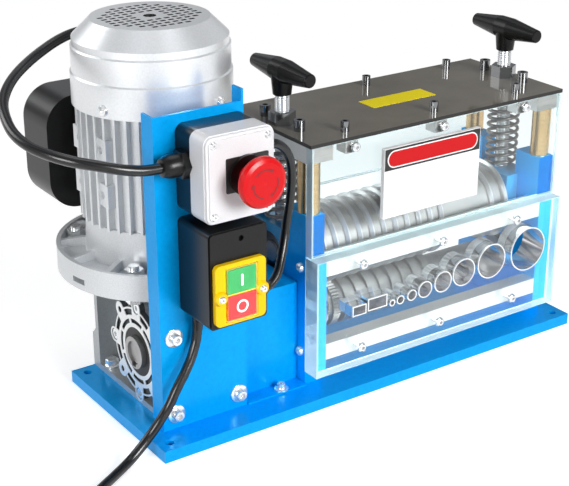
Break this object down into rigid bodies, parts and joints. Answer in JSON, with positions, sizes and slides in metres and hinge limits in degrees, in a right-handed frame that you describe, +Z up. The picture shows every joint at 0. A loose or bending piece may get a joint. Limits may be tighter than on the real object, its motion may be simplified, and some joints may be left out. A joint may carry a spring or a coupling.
{
  "type": "electric wire stripping machine",
  "caption": "Bench machine with a geared motor, knurled feed roller and round blades behind guide tubes that slit the sheath of scrap cable.",
  "frame": {"origin": "centre of the base plate's underside, midway between its four corner holes", "axes": "+X from the motor to the cutter head, -Y the side where cable is fed in, +Z up"},
  "size_m": [0.5821, 0.3618, 0.31],
  "materials": {
    "base_blue": "glossy",
    "frame_blue": "glossy",
    "sheet_blue": "satin",
    "casting_silver": "cast and painted",
    "bright_aluminium": "machined",
    "cowl_silver": "satin",
    "steel": "turned",
    "dark_steel": "oiled",
    "zinc": "zinc plated",
    "tube_steel": "polished",
    "brass": "turned",
    "clear": "clear acrylic",
    "dark_sheet": "glossy",
    "white_plastic": "satin",
    "black_plastic": "satin",
    "gloss_black": "glossy",
    "red_plastic": "glossy",
    "green_plastic": "glossy",
    "yellow_plastic": "glossy",
    "cord_rubber": "matt",
    "block_blue": "satin"
  },
  "bodies": {
    "machine": {"base_plate": "base_blue", "end_frames": "frame_blue", "brass_posts": "brass", "top_bars": "bright_aluminium", "top_sheet": "dark_sheet", "top_fasteners": "zinc", "front_guard": "clear", "rear_guard": "clear", "guard_cubes": "bright_aluminium", "guide_block": "clear", "tie_bars": "bright_aluminium", "guide_tubes": "tube_steel", "button_screws": "zinc", "sign_plate": "white_plastic", "gearbox_housing": "casting_silver", "output_cover": "bright_aluminium", "oil_seals": "black_plastic", "gearbox_flange": "casting_silver", "motor_end_bell": "casting_silver", "motor_body": "casting_silver", "fan_cowl": "cowl_silver", "motor_fasteners": "zinc", "capacitor_box": "black_plastic", "capacitor_lid": "black_plastic", "control_bracket": "sheet_blue", "gear_cover": "sheet_blue", "chassis_bolts": "zinc", "lower_bearings": "steel", "springs": "dark_steel", "stop_base": "black_plastic", "stop_cover": "white_plastic", "stop_actuator": "black_plastic", "switch_box": "black_plastic", "switch_lid": "black_plastic", "switch_bezel": "yellow_plastic", "switch_membrane": "clear", "box_screws": "zinc", "cable_glands": "black_plastic", "motor_lead": "cord_rubber", "link_lead": "cord_rubber", "power_cord": "cord_rubber", "power_coil": "cord_rubber", "plug": "black_plastic"},
    "rotor": {"motor_shaft": "steel", "cooling_fan": "black_plastic"},
    "feed": {"hollow_shaft": "steel", "feed_roller": "steel"},
    "carriage": {"bearing_blocks": "block_blue", "upper_bearings": "steel"},
    "cutter": {"cutter_shaft": "steel", "cutter_blades": "steel", "blade_spacers": "steel"},
    "left_screw": {"left_rod": "steel", "left_handle": "gloss_black"},
    "right_screw": {"right_rod": "steel", "right_handle": "gloss_black"},
    "stop_push": {"stop_stem": "red_plastic"},
    "stop_twist": {"stop_head": "red_plastic"},
    "start_key": {"start_button": "green_plastic"},
    "stop_key": {"stop_button": "red_plastic"}
  },
  "joints": [
    {"name": "motor_spin", "type": "hinge", "parent": "machine", "child": "rotor", "pos_m": [-0.145, 0.038, 0.12], "axis": [0, 0, 1], "continuous": true},
    {"name": "feed_spin", "type": "hinge", "parent": "machine", "child": "feed", "pos_m": [-0.01, 0, 0.055], "axis": [1, 0, 0], "continuous": true},
    {"name": "carriage_slide", "type": "slide", "parent": "machine", "child": "carriage", "axis": [0, 0, 1], "range_m": [0, 0.0245], "deforming": ["springs"]},
    {"name": "cutter_spin", "type": "hinge", "parent": "carriage", "child": "cutter", "pos_m": [0.07, 0, 0.1105], "axis": [1, 0, 0], "continuous": true},
    {"name": "left_handle_turn", "type": "hinge", "parent": "carriage", "child": "left_screw", "pos_m": [-0.0505, 0, 0.23], "axis": [0, 0, 1], "range_deg": [0, 5045]},
    {"name": "right_handle_turn", "type": "hinge", "parent": "carriage", "child": "right_screw", "pos_m": [0.1855, 0, 0.23], "axis": [0, 0, 1], "range_deg": [0, 5045]},
    {"name": "stop_head_push", "type": "slide", "parent": "machine", "child": "stop_push", "axis": [0, 1, 0], "range_m": [0, 0.005], "stiffness_N_per_m": 1200, "springref_m": -0.002},
    {"name": "stop_head_twist", "type": "hinge", "parent": "stop_push", "child": "stop_twist", "pos_m": [-0.1445, -0.103, 0.2225], "axis": [0, 1, 0], "range_deg": [0, 30], "stiffness_Nm_per_rad": 0.05, "springref_deg": -11.46},
    {"name": "start_press", "type": "slide", "parent": "machine", "child": "start_key", "axis": [0, 1, 0], "range_m": [0, 0.0025], "stiffness_N_per_m": 600, "springref_m": -0.002},
    {"name": "stop_press", "type": "slide", "parent": "machine", "child": "stop_key", "axis": [0, 1, 0], "range_m": [0, 0.0025], "stiffness_N_per_m": 600, "springref_m": -0.002}
  ],
  "couplings": [
    {"joint": "feed_spin", "follows": "motor_spin", "ratio": -0.033333},
    {"joint": "left_handle_turn", "follows": "carriage_slide", "rad_per_m": 3590.4},
    {"joint": "right_handle_turn", "follows": "carriage_slide", "rad_per_m": 3590.4}
  ]
}
